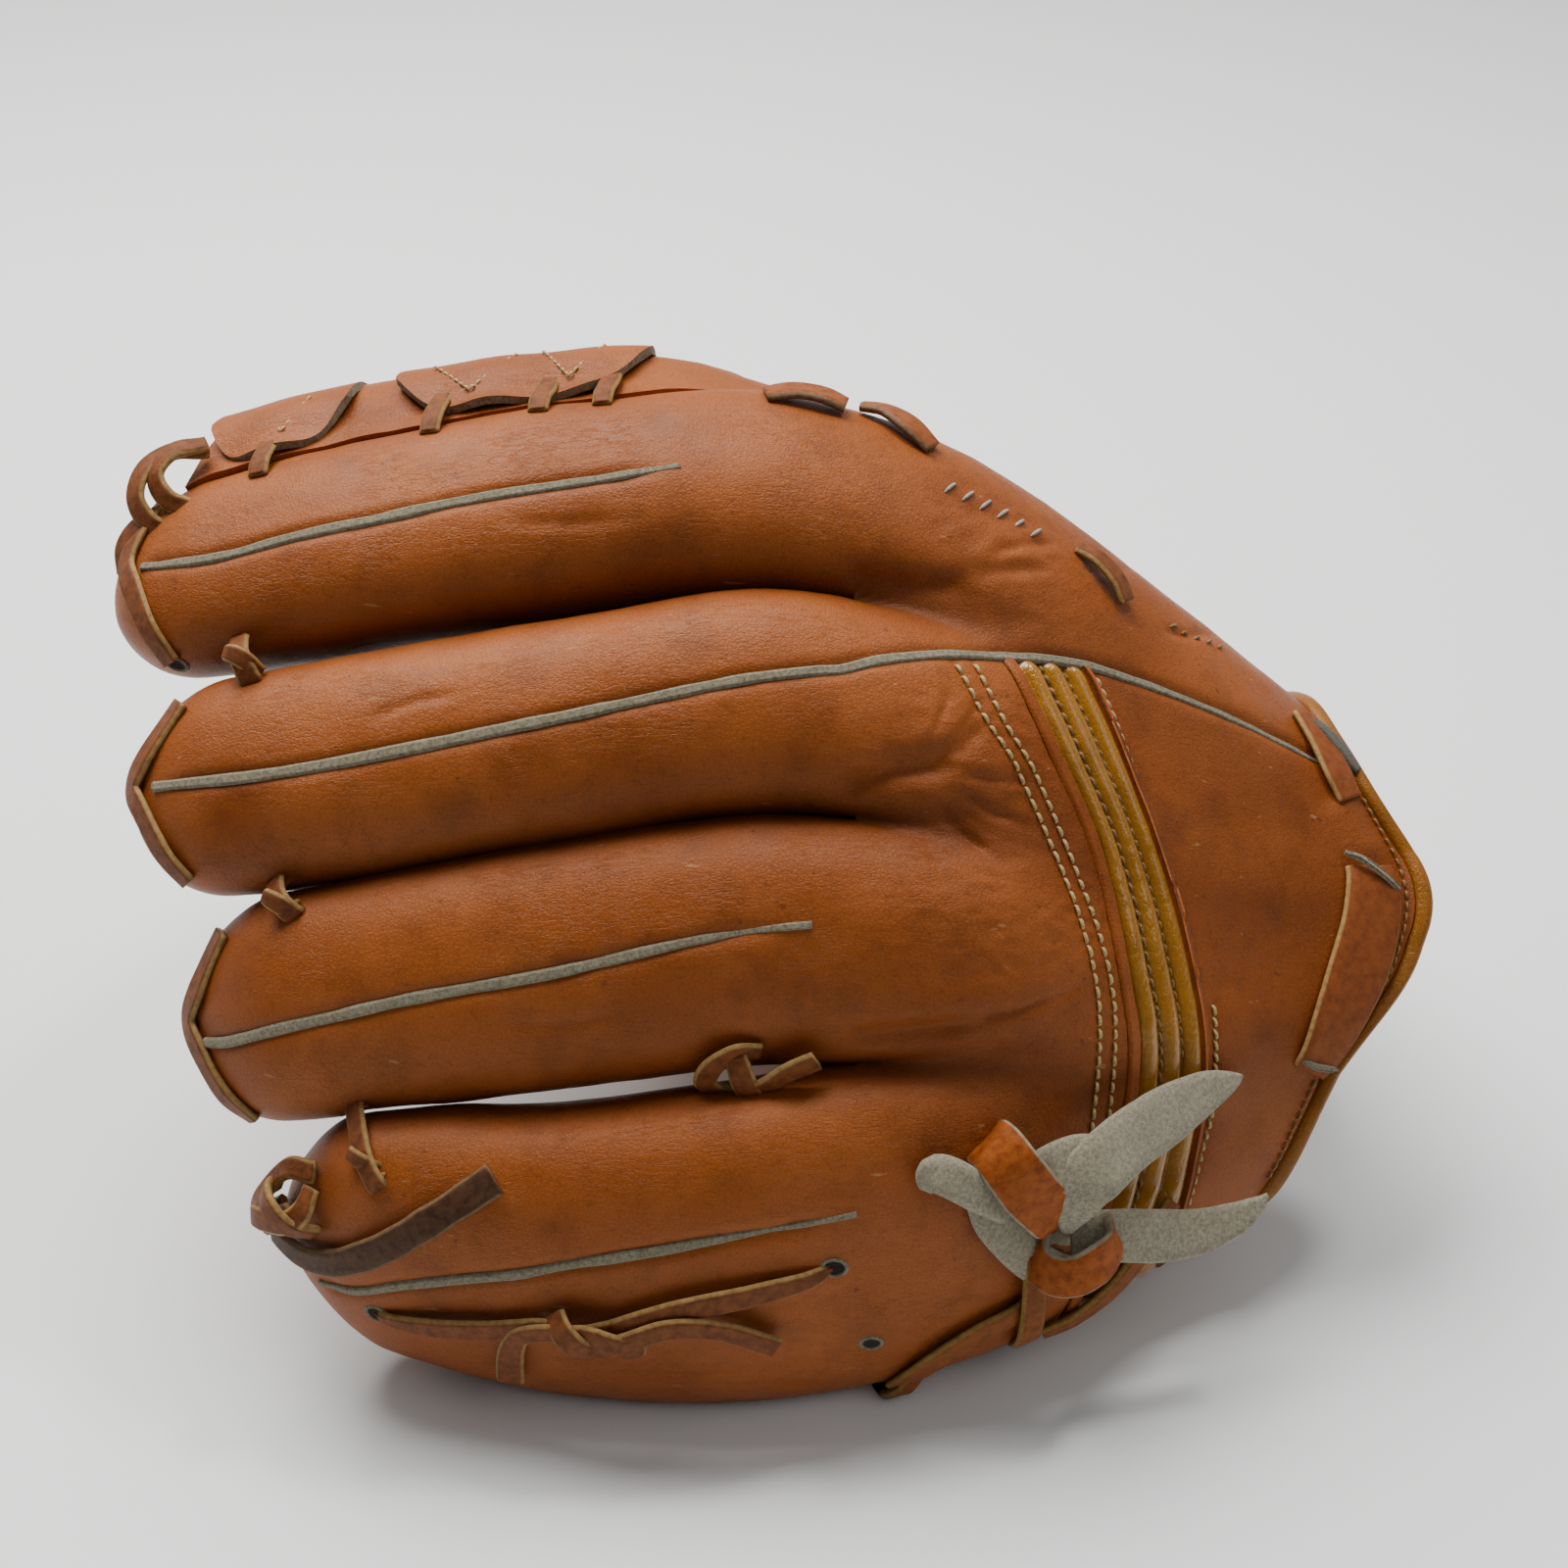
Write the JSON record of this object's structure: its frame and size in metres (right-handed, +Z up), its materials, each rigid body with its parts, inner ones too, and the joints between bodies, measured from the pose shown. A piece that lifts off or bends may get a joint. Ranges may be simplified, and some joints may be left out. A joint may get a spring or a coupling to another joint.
{
  "type": "baseball infield glove",
  "caption": "left-hand leather baseball infield glove lying palm down, with stuffed open-ended finger stalls, laced web, stretch band across the back and open wrist",
  "frame": {"origin": "middle of the footprint, on the floor plane the glove lies on", "axes": "+X from the finger tips to the wrist, +Y from the little finger to the thumb, +Z up"},
  "size_m": [0.2974, 0.2318, 0.1849],
  "materials": {
    "leather": "satin, fine pebble grain",
    "palm_leather": "satin, worn",
    "suede": "matt suede",
    "lace": "satin",
    "dark_lace": "matt suede",
    "band": "ribbed, slightly glossy",
    "binding": "satin"
  },
  "bodies": {
    "root": {"crotch_wall": "leather", "hand_back": "leather", "heel_lace": "lace", "index_middle_tie": "lace", "index_stall": "leather", "index_tip_lace": "lace", "index_welt": "suede", "middle_ring_tie": "lace", "middle_stall": "leather", "middle_tip_lace": "lace", "middle_welt": "suede", "palm": "palm_leather", "pinky_loop_lace": "lace", "pinky_stall": "leather", "pinky_tip_knot": "dark_lace", "pinky_welt": "suede", "ring_pinky_knot": "lace", "ring_pinky_tie": "lace", "ring_stall": "leather", "ring_tip_lace": "lace", "ring_welt": "suede", "stretch_band": "band", "thumb_back": "leather", "thumb_stall": "leather", "upper_back": "leather", "web_lobe_front": "leather", "web_lobe_rear": "leather", "web_panel": "leather", "web_tip_lace": "lace", "wrist_belt": "leather", "wrist_binding": "binding", "wrist_panel": "leather", "wrist_tie": "suede"}
  },
  "joints": []
}
